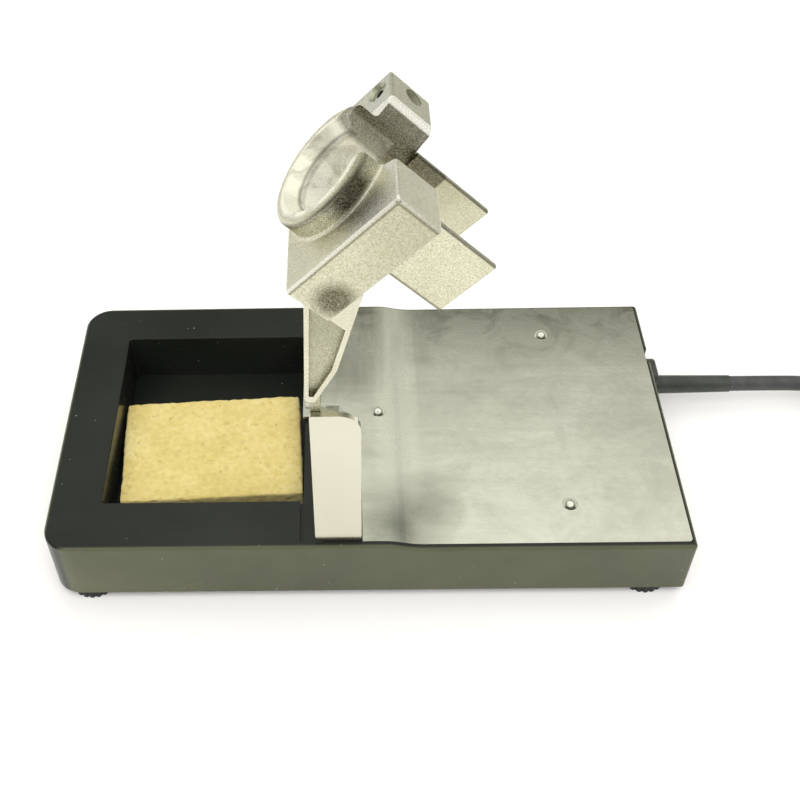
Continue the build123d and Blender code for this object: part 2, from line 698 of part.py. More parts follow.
# Cord inside the base and the relief, its tie, the core and its terminal
with BuildPart() as cord_inside:
    with BuildSketch(Plane.YZ.offset(inner_cord_end)):
        with Locations((cord_y, cord_z)):
            Circle(cord_diameter / 2)
    extrude(amount=relief_end - inner_cord_end)
finish("cord_inside", cord_inside.part)

with BuildPart() as cable_tie:
    with BuildSketch(Plane.YZ.offset(inner_cord_end + 0.8)):
        with Locations((cord_y, cord_z)):
            Circle(cord_diameter / 2 + 1.2)
        with Locations((cord_y, cord_z + cord_diameter / 2 + 2.2)):
            Rectangle(4.4, 3.4)
        with Locations((cord_y, cord_z)):
            Circle(cord_diameter / 2, mode=Mode.SUBTRACT)
    extrude(amount=2.2)
finish("cable_tie", cable_tie.part)

terminal_top = cavity_top - washer_thickness
terminal_bottom = terminal_top - terminal_thickness
core_radius = 0.7
core_z = terminal_top - terminal_thickness / 2
barrel_reach = 9.0
core_run = 8.0
core_way = Vector(inner_cord_end - terminal_place[0], cord_y - terminal_place[1], 0).normalized()
terminal_plane = Plane(origin=(*terminal_place, terminal_bottom), x_dir=core_way, z_dir=(0, 0, 1))
barrel_start = Vector(*terminal_place, core_z) + core_way * barrel_reach
barrel_plane = Plane(origin=barrel_start, x_dir=(0, 0, 1), z_dir=core_way * -1)
with BuildPart() as ring_terminal:
    with BuildSketch(terminal_plane):
        Circle(3.2)
        with Locations((3.5, 0)):
            Rectangle(4.6, 2.6)
        Circle(rivet_shank / 2 + hole_play, mode=Mode.SUBTRACT)
    extrude(amount=terminal_thickness)
    with BuildSketch(barrel_plane):
        Circle(1.15)
        Circle(core_radius, mode=Mode.SUBTRACT)
    extrude(amount=4.0)
finish("ring_terminal", ring_terminal.part)

core_route = [
    (inner_cord_end, cord_y, cord_z), tuple(barrel_start + core_way * core_run), tuple(barrel_start),
]
with BuildPart() as earth_core:
    with BuildLine() as core_line:
        tube_path(core_route)
    with BuildSketch(Plane(origin=core_line.line @ 0, z_dir=core_line.line % 0)):
        Circle(core_radius)
    sweep()
finish("earth_core", earth_core.part)

# Lead outside: the lying stretch, the put-away coil and the tail to the plug
for name, route in (("cord_lead", lead_route), ("cord_tail", tail_route)):
    with BuildPart() as stretch:
        with BuildLine() as stretch_line:
            tube_path(route)
        with BuildSketch(Plane(origin=stretch_line.line @ 0, z_dir=stretch_line.line % 0)):
            Circle(cord_diameter / 2)
        sweep()
    stretch_length = stretch_line.wires()[0].length
    section = math.pi * cord_diameter ** 2 / 4
    print(name, "length", round(stretch_length, 1),
          "volume ratio", round(stretch.part.volume / section / stretch_length, 4))
    finish(name, stretch.part)

coil_width = (coil_columns - 1) * turn_pitch + cord_diameter
coil_height = (coil_layers - 1) * turn_pitch + cord_diameter
with BuildPart() as cord_coil:
    with BuildSketch(Plane(origin=(coil_x, coil_y, coil_floor), x_dir=(1, 0, 0), z_dir=(0, -1, 0))):
        with Locations((coil_mean_radius, coil_height / 2)):
            RectangleRounded(coil_width, coil_height, cord_diameter / 2 - 0.1)
    revolve(axis=Axis((coil_x, coil_y, 0), (0, 0, 1)))
finish("cord_coil", cord_coil.part)

# Plug: a jack with a moulded grip, lying beside the coil and pointing to the front
grip_length = 24.0
sleeve_length = 9.5
ring_length = 1.0
tip_length = 3.5
sleeve_end = grip_length + sleeve_length
tip_start = sleeve_end + ring_length
tip_end = tip_start + tip_length
plug_outlines = {
    "plug_grip": [
        (0, 0), (0, 3.0), (4.0, 3.3), (7.0, plug_radius), (grip_length - 1.0, plug_radius),
        (grip_length, plug_radius - 0.8), (grip_length, 0),
    ],
    "plug_sleeve": [
        (grip_length, 0), (grip_length, 2.6), (grip_length + 1.2, 2.6), (grip_length + 1.2, 1.75),
        (sleeve_end, 1.75), (sleeve_end, 0),
    ],
    "plug_insulator": [(sleeve_end, 0), (sleeve_end, 1.7), (tip_start, 1.7), (tip_start, 0)],
    "plug_tip": [
        (tip_start, 0), (tip_start, 1.2), (tip_start + 1.0, 1.75), (tip_start + 2.0, 1.75),
        (tip_end, 0.5), (tip_end, 0),
    ],
}
plug_origin = (plug_x, plug_y, plug_radius)
for name, outline in plug_outlines.items():
    with BuildPart() as plug_piece:
        with BuildSketch(Plane(origin=plug_origin, x_dir=(0, -1, 0), z_dir=(1, 0, 0))):
            with BuildLine():
                Polyline(*outline, close=True)
            make_face()
        revolve(axis=Axis(plug_origin, (0, -1, 0)))
    finish(name, plug_piece.part)

print("cord length in the coil", round(2 * math.pi * coil_mean_radius * coil_turns, 1))
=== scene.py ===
import math

import bmesh
import bpy
from mathutils import Matrix, Vector, noise


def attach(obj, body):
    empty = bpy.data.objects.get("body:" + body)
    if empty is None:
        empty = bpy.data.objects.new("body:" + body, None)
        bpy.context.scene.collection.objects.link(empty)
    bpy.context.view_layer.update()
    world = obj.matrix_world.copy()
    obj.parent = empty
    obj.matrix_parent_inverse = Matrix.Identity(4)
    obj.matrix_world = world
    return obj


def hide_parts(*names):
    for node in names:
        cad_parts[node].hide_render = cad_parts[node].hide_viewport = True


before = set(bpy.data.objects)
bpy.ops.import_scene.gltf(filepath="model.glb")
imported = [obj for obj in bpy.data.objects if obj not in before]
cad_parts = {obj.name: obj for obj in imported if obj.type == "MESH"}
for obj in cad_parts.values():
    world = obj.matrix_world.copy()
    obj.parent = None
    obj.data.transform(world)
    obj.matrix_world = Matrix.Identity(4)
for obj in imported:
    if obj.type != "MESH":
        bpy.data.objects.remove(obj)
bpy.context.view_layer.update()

MM = 0.001
scene = bpy.context.scene

# The holder's own directions: the way the iron points, square to it upwards, and to the back.
# Then its block's lower near corner, and the middle of the lug's blind hole.
TILT = math.radians(43.9)
IRON_WAY = (math.cos(TILT), 0, -math.sin(TILT))
HEAD_UP = (math.sin(TILT), 0, math.cos(TILT))
BACKWARDS = (0, 1, 0)
HEAD_CORNER = (-0.0179, -0.0474, 0.116)
LUG_HOLE = (0.0110, -0.0042, 0.1359)


# Camera, at the photograph's angle
IMAGE_PX = 800
FOCAL_PX = 1142.25
SENSOR_MM = 36
CAMERA_SHIFT = (0.0921, 0.001)
CAMERA_CLIP = (0.01, 20)
CAMERA_PLACE = (-0.00394, -0.22953, 0.27993)
CAMERA_TURN = (42.610, 1.430, 0.290)


def radians(angles):
    return [math.radians(angle) for angle in angles]


def make_camera():
    data = bpy.data.cameras.new("camera")
    data.sensor_width = SENSOR_MM
    data.lens = SENSOR_MM * FOCAL_PX / IMAGE_PX
    data.shift_x, data.shift_y = CAMERA_SHIFT
    data.clip_start, data.clip_end = CAMERA_CLIP
    camera = bpy.data.objects.new("camera", data)
    camera.location = CAMERA_PLACE
    camera.rotation_euler = radians(CAMERA_TURN)
    scene.collection.objects.link(camera)
    scene.camera = camera


make_camera()


# Small helpers for shader nodes. The Mix node has sockets of one name for each kind of value,
# so its colour sockets are picked by number.
MIX_A, MIX_B, MIX_RESULT = 6, 7, 2


class Shader:
    """One material: a Principled shader and short calls that add nodes to it."""

    def __init__(self, name):
        self.material = bpy.data.materials.new(name)
        self.material.use_nodes = True
        self.tree = self.material.node_tree
        self.tree.nodes.clear()
        self.bsdf = self.tree.nodes.new("ShaderNodeBsdfPrincipled")
        out = self.tree.nodes.new("ShaderNodeOutputMaterial")
        self.tree.links.new(self.bsdf.outputs["BSDF"], out.inputs["Surface"])
        coords = self.tree.nodes.new("ShaderNodeTexCoord")
        self.object = coords.outputs["Object"]

    def link(self, value, socket):
        if isinstance(value, bpy.types.NodeSocket):
            self.tree.links.new(value, socket)
        else:
            socket.default_value = value

    def set(self, **values):
        for name, value in values.items():
            self.link(value, self.bsdf.inputs[name.replace("_", " ")])

    def stretch(self, scale, turn=(0, 0, 0)):
        node = self.tree.nodes.new("ShaderNodeMapping")
        self.link(self.object, node.inputs["Vector"])
        node.inputs["Scale"].default_value = scale
        node.inputs["Rotation"].default_value = turn
        return node.outputs["Vector"]

    def noise(self, scale, detail=4.0, rough=0.55, vector=None, distort=0.0):
        node = self.tree.nodes.new("ShaderNodeTexNoise")
        self.link(vector or self.object, node.inputs["Vector"])
        node.inputs["Scale"].default_value = scale
        node.inputs["Detail"].default_value = detail
        node.inputs["Roughness"].default_value = rough
        node.inputs["Distortion"].default_value = distort
        return node.outputs["Fac"]

    def cells(self, scale, vector=None):
        node = self.tree.nodes.new("ShaderNodeTexVoronoi")
        self.link(vector or self.object, node.inputs["Vector"])
        node.inputs["Scale"].default_value = scale
        return node.outputs["Distance"]

    def range(self, value, low, high, to_low=0.0, to_high=1.0):
        node = self.tree.nodes.new("ShaderNodeMapRange")
        self.link(value, node.inputs["Value"])
        node.inputs["From Min"].default_value = low
        node.inputs["From Max"].default_value = high
        node.inputs["To Min"].default_value = to_low
        node.inputs["To Max"].default_value = to_high
        return node.outputs["Result"]

    def math(self, operation, a, b=0.0):
        node = self.tree.nodes.new("ShaderNodeMath")
        node.operation = operation
        self.link(a, node.inputs[0])
        self.link(b, node.inputs[1])
        return node.outputs["Value"]

    def product(self, *parts):
        total = parts[0]
        for part in parts[1:]:
            total = self.math("MULTIPLY", total, part)
        return total

    def largest(self, *parts):
        total = parts[0]
        for part in parts[1:]:
            total = self.math("MAXIMUM", total, part)
        return total

    def patch(self, measures, edges, *parts):
        """A product of masks and of edges: (measure, value at the first level, value at the
        second, and the two levels if they aren't 0 and 1)."""
        return self.product(*parts, *[self.range(measures[edge[0]], *edge[1:]) for edge in edges])

    def mix(self, factor, a, b):
        node = self.tree.nodes.new("ShaderNodeMix")
        node.data_type = "RGBA"
        self.link(factor, node.inputs["Factor"])
        self.link(a, node.inputs[MIX_A])
        self.link(b, node.inputs[MIX_B])
        return node.outputs[MIX_RESULT]

    def ramp(self, factor, *stops):
        node = self.tree.nodes.new("ShaderNodeValToRGB")
        self.link(factor, node.inputs["Fac"])
        elements = node.color_ramp.elements
        while len(elements) < len(stops):
            elements.new(0.5)
        for element, (place, colour) in zip(elements, stops):
            element.position = place
            element.color = (*colour, 1)
        return node.outputs["Color"]

    def axis(self, name):
        node = self.tree.nodes.new("ShaderNodeSeparateXYZ")
        self.link(self.object, node.inputs["Vector"])
        return node.outputs[name]

    def band(self, value, low, high):
        """1 between two values, 0 outside them, with soft sides."""
        soft = (high - low) * 0.3
        rise = self.range(value, low - soft, low + soft)
        return self.product(rise, self.range(value, high + soft, high - soft))

    def near(self, place, radius, inner=0.0):
        """1 within the inner radius of a point of the object, falling to 0 at the radius."""
        node = self.tree.nodes.new("ShaderNodeVectorMath")
        node.operation = "DISTANCE"
        self.link(self.object, node.inputs[0])
        node.inputs[1].default_value = place
        return self.range(node.outputs["Value"], inner, radius, 1.0, 0.0)

    def along(self, way, start):
        """How far a point lies from start, in metres, measured along a direction."""
        away = self.tree.nodes.new("ShaderNodeVectorMath")
        away.operation = "SUBTRACT"
        self.link(self.object, away.inputs[0])
        away.inputs[1].default_value = start
        dot = self.tree.nodes.new("ShaderNodeVectorMath")
        dot.operation = "DOT_PRODUCT"
        self.link(away.outputs["Vector"], dot.inputs[0])
        dot.inputs[1].default_value = way
        return dot.outputs["Value"]

    def facing(self, way):
        """1 where the surface faces along a direction or straight against it, 0 square to it."""
        geometry = self.tree.nodes.new("ShaderNodeNewGeometry")
        dot = self.tree.nodes.new("ShaderNodeVectorMath")
        dot.operation = "DOT_PRODUCT"
        self.link(geometry.outputs["Normal"], dot.inputs[0])
        dot.inputs[1].default_value = way
        return self.math("ABSOLUTE", dot.outputs["Value"])

    def bump(self, height, strength, distance, under=None):
        node = self.tree.nodes.new("ShaderNodeBump")
        node.inputs["Strength"].default_value = strength
        node.inputs["Distance"].default_value = distance
        self.link(height, node.inputs["Height"])
        if under is not None:
            self.link(under, node.inputs["Normal"])
        self.tree.links.new(node.outputs["Normal"], self.bsdf.inputs["Normal"])
        return node.outputs["Normal"]


def rgb(*colour):
    return (*colour, 1.0)


# Materials. Places are in metres, in the frame of the whole object.
DUST = (0.33, 0.33, 0.28)
HOUSING_WALL_Y = (0.0472, 0.0480)
HOUSING_WALL_X = (0.0890, 0.0897)
# Where the outer walls' painted highlight lies: at the left end, strongest low down
HOUSING_LEFT_HIGHLIGHT = (("x", -0.040, -0.088), ("z", 0.020, 0.006, 0.2, 1.0))


def housing_material():
    """Glossy black with specks of dust; painted light makes the outer walls greenish grey, brightest
    low at the left end.
    """
    s = Shader("housing_black")
    axes = {"x": s.axis("X"), "z": s.axis("Z")}
    tone = s.noise(35.0, 3.0)
    colour = s.ramp(tone, (0.35, (0.011, 0.013, 0.011)), (0.7, (0.017, 0.019, 0.016)))
    dust = s.range(s.cells(420.0), 0.05, 0.11, 1.0, 0.0)
    specks = s.product(dust, s.range(s.noise(260.0, 1.0), 0.60, 0.66))
    wall = s.largest(
        s.range(s.math("ABSOLUTE", s.axis("Y")), *HOUSING_WALL_Y),
        s.range(s.math("ABSOLUTE", axes["x"]), *HOUSING_WALL_X),
    )
    # The outer walls' lighter greenish grey is painted light
    pale = s.ramp(s.noise(50.0, 4.0), (0.3, (0.082, 0.088, 0.052)), (0.7, (0.102, 0.109, 0.066)))
    # A painted highlight low on the left end of the outer walls
    breakup_and_highlight = s.patch(axes, HOUSING_LEFT_HIGHLIGHT)
    pale = s.mix(s.product(breakup_and_highlight, 0.55), pale, rgb(0.155, 0.165, 0.100))
    colour = s.mix(wall, colour, pale)
    s.set(Base_Color=s.mix(specks, colour, rgb(*DUST)))
    smears = s.noise(60.0, 5.0, 0.6, s.stretch((1.0, 2.4, 1.0), (0, 0, 0.5)))
    rough = s.range(smears, 0.3, 0.7, 0.17, 0.30)
    s.set(Roughness=s.math("ADD", rough, s.product(specks, 0.4)))
    s.set(IOR=1.5, Specular_IOR_Level=0.27)
    s.bump(s.noise(1400.0, 3.0), 0.06, 0.0002)
    return s.material


# Painted shade darkens the back and a painted sheen lightens the front
DECK_BACK_SHADE = ("y", 0.018, 0.046, 0.0, 0.62)
DECK_FRONT_SHINE = ("y", 0.012, -0.044, 0.0, 0.55)
DECK_STRIPES = (("x", 0.030, 0.010), ("y", 0.000, 0.034, 0.0, 0.50))
DECK_STAINED = ("y", 0.022, 0.047)
# Painted shade spots by the fold, near the upright: place and radius
DECK_SHADE_SPOTS = (((0.0075, -0.0405, 0.024), 0.018), ((0.0150, -0.0340, 0.0225), 0.014))
DECK_SMUDGE = (-0.0067, 0.0200, 0.0240)
DECK_FOLD = (0.0050, 0.0142)
DECK_FOLD_END = ("y", -0.040, -0.026)


def deck_material():
    """Zinc: cloudy and streaked, with painted shade and stains at the back, a painted sheen at the
    front, and painted shade by the fold.
    """
    s = Shader("deck_zinc")
    axes = {"x": s.axis("X"), "y": s.axis("Y")}
    broad = s.noise(26.0, 4.0, 0.6, distort=0.8)
    fine = s.noise(420.0, 5.0, 0.65)
    streaks = s.noise(90.0, 4.0, 0.6, s.stretch((0.35, 3.0, 1.0), (0, 0, 0.06)))
    blend = s.math("ADD", s.product(broad, 0.5), s.product(streaks, 0.3))
    blend = s.math("ADD", blend, s.product(fine, 0.2))
    colour = s.ramp(
        blend, (0.33, (0.60, 0.605, 0.52)), (0.50, (0.74, 0.745, 0.65)), (0.66, (0.84, 0.845, 0.75))
    )
    # Painted shade towards the back, and a painted sheen towards the front
    colour = s.mix(s.patch(axes, [DECK_BACK_SHADE]), colour, rgb(0.30, 0.30, 0.24))
    colour = s.mix(s.patch(axes, [DECK_FRONT_SHINE]), colour, rgb(0.86, 0.865, 0.77))

    # Dark stripes from front to back, left of the middle
    stripes = s.range(s.noise(300.0, 3.0, 0.5, s.stretch((1.0, 0.12, 1.0)), 0.6), 0.36, 0.66)
    colour = s.mix(s.patch(axes, DECK_STRIPES, stripes), colour, rgb(0.24, 0.26, 0.19))

    # Stains, mostly at the back
    darkening = s.range(s.noise(60.0, 5.0, 0.7, distort=1.5), 0.46, 0.66)
    back = s.patch(axes, [DECK_STAINED])
    darkening = s.product(darkening, s.math("ADD", s.product(back, 0.8), 0.12))
    colour = s.mix(darkening, colour, rgb(0.20, 0.20, 0.155))

    # Scuffs, and the fold, which is paler and duller
    scuffs = s.range(s.noise(300.0, 2.0, 0.5, s.stretch((0.25, 4.0, 1.0), (0, 0, 0.9))), 0.70, 0.76)
    colour = s.mix(s.product(scuffs, 0.5), colour, rgb(0.86, 0.86, 0.78))
    fold = s.patch(axes, [DECK_FOLD_END], s.band(axes["x"], *DECK_FOLD))
    colour = s.mix(s.product(fold, 0.55), colour, rgb(0.68, 0.685, 0.59))

    # Painted shade over the fold, near the upright, and a dark smudge further back
    shade_and_smudge = s.largest(*[s.near(place, radius) for place, radius in DECK_SHADE_SPOTS])
    shade_and_smudge = s.product(s.math("POWER", shade_and_smudge, 0.8), s.range(broad, 0.35, 0.6, 0.45, 0.75))
    shade_and_smudge = s.largest(shade_and_smudge, s.product(s.near(DECK_SMUDGE, 0.017, 0.003), 0.45))
    colour = s.mix(shade_and_smudge, colour, rgb(0.17, 0.18, 0.135))

    s.set(Base_Color=colour, Metallic=s.range(fold, 0.0, 1.0, 1.0, 0.60))
    rough = s.range(blend, 0.35, 0.65, 0.34, 0.22)
    s.set(Roughness=s.math("ADD", rough, s.product(darkening, 0.2)))
    under = s.bump(s.noise(700.0, 4.0, 0.6), 0.10, 0.0002)
    s.bump(s.noise(55.0, 2.0), 0.10, 0.001, under)
    return s.material


def upright_material():
    s = Shader("upright_polished")
    tone = s.noise(30.0, 3.0)
    s.set(Base_Color=s.ramp(tone, (0.3, (0.65, 0.63, 0.51)), (0.7, (0.70, 0.68, 0.56))))
    s.set(Metallic=1.0)
    lines = s.noise(160.0, 3.0, 0.6, s.stretch((14.0, 1.0, 0.4)))
    s.set(Roughness=s.range(lines, 0.3, 0.7, 0.14, 0.24))
    s.bump(lines, 0.04, 0.0002)
    return s.material


# The holder's patches, in metres. "along" and "up" are measured from HEAD_CORNER in the holder's
# own directions, and "reach" from the axis of the bore. For the form of an edge see Shader.patch.
BORE_Y = -0.0239
BORE_UP = 0.01745
# Where the ring's mouth and the bore get a painted highlight
BORE_HIGHLIGHT = (("along", 0.0074, 0.0070), ("reach", 0.0140, 0.0132))
BLOCK_EDGE = (("reach", 0.0152, 0.0170), ("z", 0.098, 0.102))
SLOT_FAR_WALL = (
    ("y", -0.0164, -0.0158), ("y", -0.0118, -0.0122), ("along", 0.0130, 0.0128),
    ("up", 0.0338, 0.0332), ("up", 0.0215, 0.0235),
)
FAR_FIN_INSIDE = (
    ("y", -0.0164, -0.0161), ("y", -0.0145, -0.0148), ("along", 0.0126, 0.0129),
    ("along", 0.0222, 0.0219), ("up", 0.0172, 0.0180),
)
GROOVE = (
    ("along", -0.0002, -0.0012), ("along", -0.0049, -0.0042), ("y", -0.0345, -0.0365),
    ("up", 0.0160, 0.0205), ("up", 0.0325, 0.0302),
)
SMUDGE_PLACE = (-0.0072, -0.0474, 0.1138)
SMUDGE_FACE = (("y", -0.0470, -0.0473),)
SLOT_FAR_TOP = (("up", 0.0330, 0.0334), ("y", -0.0128, -0.0124), ("y", -0.0102, -0.0106))
BLOCK_FRONT = (("along", 0.0004, 0.0001), ("up", 0.012, 0.024), ("along", -0.0004, -0.0001))
NEAR_FACE = (
    ("y", -0.0468, -0.0471), ("up", 0.004, 0.034, 0.0, 0.55), ("along", 0.000, 0.012, 0.55, 1.0),
)
FAR_LUG = (("y", -0.0106, -0.0102), ("up", 0.018, 0.022))
BLOCK_TOP = (("up", 0.0341, 0.0343),)
LEG_WEB = (("y", -0.04605, -0.04595), ("y", -0.0440, -0.0442), ("z", 0.116, 0.112))
LEG_BORDER = (("y", -0.0466, -0.0464), ("y", -0.04605, -0.04615))
LUG_HOLE_EDGE = (("up", 0.0343, 0.0341),)

# Painted shade lines: the bands they fill, and the patches that they stay inside
BORE_LINE = (0.0101, 0.0106)
BORE_LINE_INSIDE = (("along", -0.0010, -0.0014),)
RIM_LINE = (0.0151, 0.0156)
RIM_LINE_INSIDE = (("along", -0.0038, -0.0042),)
FACE_LINE_ALONG = (0.0007, 0.0012)
FACE_LINE_UP = (0.0331, 0.0337)
FACE_LINES_INSIDE = (("y", -0.0471, -0.0473),)
FIN_LINES = (("up", 0.0128, 0.0124), ("up", 0.0289, 0.0291))
FIN_LINES_INSIDE = (("along", 0.0129, 0.0132), ("y", -0.0400, -0.0395))

# Colours: of painted highlights, of greyer faces, and of painted shade
PAINTED_HIGHLIGHT = (0.95, 0.94, 0.88)
GREYED = (0.34, 0.345, 0.26)
DARKENED = (0.130, 0.120, 0.082)
# Painted shade in the slot, inside the far fin and in the ring's groove: patch, strength and colour
CASTING_PAINTED_SHADE = (
    (SLOT_FAR_WALL, 0.90, DARKENED),
    (FAR_FIN_INSIDE, 0.95, DARKENED),
    (GROOVE, 1.0, (0.055, 0.048, 0.030)),
)


def casting_measures(s):
    """The lengths that the casting's patches are given in."""
    measures = {
        "along": s.along(IRON_WAY, HEAD_CORNER), "up": s.along(HEAD_UP, HEAD_CORNER),
        "y": s.axis("Y"), "z": s.axis("Z"),
    }
    across = s.math("SUBTRACT", measures["y"], BORE_Y)
    upward = s.math("SUBTRACT", measures["up"], BORE_UP)
    square = s.math("ADD", s.product(across, across), s.product(upward, upward))
    measures["reach"] = s.math("SQRT", square)
    return measures


def casting_lines(s, at):
    """Painted shade lines where surfaces meet: bore and chamfer, rim, near face and fins."""
    bore = s.patch(at, BORE_LINE_INSIDE, s.band(at["reach"], *BORE_LINE))
    rim = s.patch(at, RIM_LINE_INSIDE, s.band(at["reach"], *RIM_LINE))
    face = s.largest(s.band(at["along"], *FACE_LINE_ALONG), s.band(at["up"], *FACE_LINE_UP))
    face = s.patch(at, FACE_LINES_INSIDE, face)
    fins = s.largest(*[s.patch(at, [edge]) for edge in FIN_LINES])
    fins = s.patch(at, FIN_LINES_INSIDE, fins)
    return s.largest(bore, rim, face, fins)


def casting_material():
    """Grainy die-cast metal, with painted highlights on its edges and in its bore, painted shade in
    its recesses and along its edges, and a smudge.
    """
    s = Shader("holder_casting")
    at = casting_measures(s)

    # Mixes a tint over a mask, broken up by fine noise: for painted shade and for the smudge
    def darkening(colour, mask, strength, tint):
        breakup_and_highlight = s.range(s.noise(2400.0, 4.0, 0.6), 0.36, 0.62, 0.62, 1.0)
        return s.mix(s.product(mask, breakup_and_highlight, strength), colour, rgb(*tint))

    tone = s.noise(45.0, 4.0, 0.6)
    grain = s.noise(2900.0, 4.0, 0.65)
    colour = s.ramp(tone, (0.3, (0.56, 0.550, 0.405)), (0.7, (0.68, 0.670, 0.505)))
    colour = s.mix(s.range(grain, 0.53, 0.66, 0.0, 0.60), colour, rgb(0.28, 0.26, 0.17))
    colour = s.mix(s.range(grain, 0.47, 0.34, 0.0, 0.65), colour, rgb(0.92, 0.915, 0.76))

    # Painted highlight inside the ring's mouth and the bore
    bore_highlight = s.patch(at, BORE_HIGHLIGHT)
    bright_in_bore = s.range(at["reach"], 0.0100, 0.0106, 0.95, 0.45)
    colour = s.mix(s.product(bore_highlight, bright_in_bore), colour, rgb(0.97, 0.96, 0.88))
    swirl = s.range(s.noise(150.0, 4.0, 0.6, distort=1.2), 0.50, 0.62, 0.0, 0.5)
    colour = s.mix(s.product(bore_highlight, swirl), colour, rgb(0.34, 0.33, 0.26))

    # Painted highlights on the rounded edges: where the surface turns away from the block's own
    # directions
    flat = s.largest(s.facing(IRON_WAY), s.facing(HEAD_UP), s.facing(BACKWARDS))
    outside_hole = s.math("SUBTRACT", 1.0, s.near(LUG_HOLE, 0.0045, 0.0044))
    near_side = s.range(at["y"], -0.0455, -0.0465, 0.35, 1.0)
    edge = s.patch(at, BLOCK_EDGE, s.range(flat, 0.985, 0.94))
    edge = s.product(edge, outside_hole, near_side)
    colour = s.mix(s.product(edge, 0.8), colour, rgb(*PAINTED_HIGHLIGHT))

    # Painted shade in the slot, inside the far fin and in the ring's groove
    for edges, strength, tint in CASTING_PAINTED_SHADE:
        colour = darkening(colour, s.patch(at, edges), strength, tint)
    # A smudge low on the block's near face
    smudge = s.patch(at, SMUDGE_FACE, s.near(SMUDGE_PLACE, 0.0062, 0.0026))
    colour = darkening(colour, smudge, 1.0, (0.09, 0.08, 0.04))

    # Painted highlights: on the rounded top of the slot's far wall, and over the upper part
    # of the block's front
    far_wall_highlight = s.patch(at, SLOT_FAR_TOP)
    colour = s.mix(s.product(far_wall_highlight, 0.9), colour, rgb(*PAINTED_HIGHLIGHT))
    colour = s.mix(s.patch(at, BLOCK_FRONT, s.facing(IRON_WAY)), colour, rgb(0.93, 0.92, 0.84))
    # The near face is darker towards its upper corner
    colour = s.mix(s.patch(at, NEAR_FACE), colour, rgb(0.36, 0.345, 0.24))
    # The far lug and the block's top are greyer
    colour = s.mix(s.product(s.patch(at, FAR_LUG), 0.55), colour, rgb(*GREYED))
    top = s.patch(at, BLOCK_TOP, s.facing(HEAD_UP))
    colour = s.mix(s.product(top, 0.25), colour, rgb(*GREYED))
    # Painted shade lines along the edges where surfaces meet
    colour = s.mix(s.product(casting_lines(s, at), 0.62), colour, rgb(0.10, 0.095, 0.06))

    # Painted shade on the leg's web, deepest near the block, and a faint painted highlight on its
    # border
    web_shade = s.product(s.patch(at, LEG_WEB), s.range(at["z"], 0.090, 0.106, 0.40, 0.62))
    colour = s.mix(web_shade, colour, rgb(0.22, 0.22, 0.15))
    border_highlight = s.patch(at, LEG_BORDER)
    colour = s.mix(s.product(border_highlight, 0.15), colour, rgb(0.95, 0.94, 0.87))

    s.set(Base_Color=colour)
    hole = s.patch(at, LUG_HOLE_EDGE, s.near(LUG_HOLE, 0.0034, 0.0032))
    soft = s.largest(edge, far_wall_highlight, hole, bore_highlight)
    s.set(Metallic=s.math("SUBTRACT", 1.0, s.product(soft, 0.65)))
    s.set(Roughness=s.range(grain, 0.3, 0.7, 0.20, 0.32))
    relief = s.product(grain, s.range(bore_highlight, 0.0, 1.0, 1.0, 0.15))
    s.bump(s.noise(420.0, 3.0), 0.22, 0.0005, s.bump(relief, 0.60, 0.00022))
    return s.material


def screw_material(name, low, high, rough):
    """Metal of small parts, finely marked, between two colours."""
    s = Shader(name)
    s.set(Base_Color=s.ramp(s.noise(500.0, 4.0), (0.35, low), (0.65, high)), Metallic=1.0)
    marks = s.noise(900.0, 4.0, 0.6, s.stretch((1.0, 4.0, 1.0)))
    s.set(Roughness=s.range(marks, 0.3, 0.7, rough, rough + 0.16))
    s.bump(marks, 0.12, 0.0002)
    return s.material


def rubber_material(name, low, high, rough):
    """Rubber or plastic with a fine skin, between two colours."""
    s = Shader(name)
    s.set(Base_Color=s.ramp(s.noise(240.0, 4.0), (0.35, low), (0.65, high)))
    skin = s.noise(1800.0, 4.0, 0.6)
    s.set(Roughness=s.range(skin, 0.3, 0.7, rough - 0.07, rough + 0.07), Specular_IOR_Level=0.4)
    s.bump(skin, 0.15, 0.0002)
    return s.material


def sponge_material():
    s = Shader("sponge_cellulose")
    broad = s.noise(75.0, 4.0, 0.6)
    fine = s.noise(520.0, 5.0, 0.7)
    blend = s.math("ADD", s.product(broad, 0.45), s.product(fine, 0.55))
    colour = s.ramp(
        blend, (0.34, (0.56, 0.44, 0.14)), (0.50, (0.66, 0.535, 0.20)), (0.66, (0.74, 0.63, 0.30))
    )
    small = s.range(s.cells(520.0), 0.08, 0.34, 1.0, 0.0)
    small = s.product(small, s.range(s.noise(330.0, 2.0), 0.46, 0.60))
    wide = s.range(s.cells(210.0, s.stretch((1.0, 0.7, 1.0))), 0.05, 0.25, 1.0, 0.0)
    wide = s.product(wide, s.range(s.noise(150.0, 2.0), 0.52, 0.62))
    pores = s.largest(small, wide)
    s.set(Base_Color=s.mix(s.product(pores, 0.35), colour, rgb(0.44, 0.29, 0.08)))
    s.set(Roughness=s.range(fine, 0.3, 0.7, 0.85, 0.97), Specular_IOR_Level=0.15)
    s.set(Sheen_Weight=0.25, Sheen_Roughness=0.6)
    under = s.bump(s.math("SUBTRACT", fine, pores), 0.55, 0.0006)
    s.bump(s.noise(1600.0, 4.0, 0.7), 0.3, 0.0003, under)
    return s.material


def cast_iron_material():
    s = Shader("ballast_iron")
    grain = s.noise(700.0, 5.0, 0.65)
    s.set(Base_Color=s.ramp(grain, (0.35, (0.08, 0.08, 0.08)), (0.65, (0.16, 0.155, 0.15))))
    s.set(Metallic=0.8, Roughness=s.range(grain, 0.3, 0.7, 0.5, 0.7))
    s.bump(grain, 0.3, 0.0004)
    return s.material


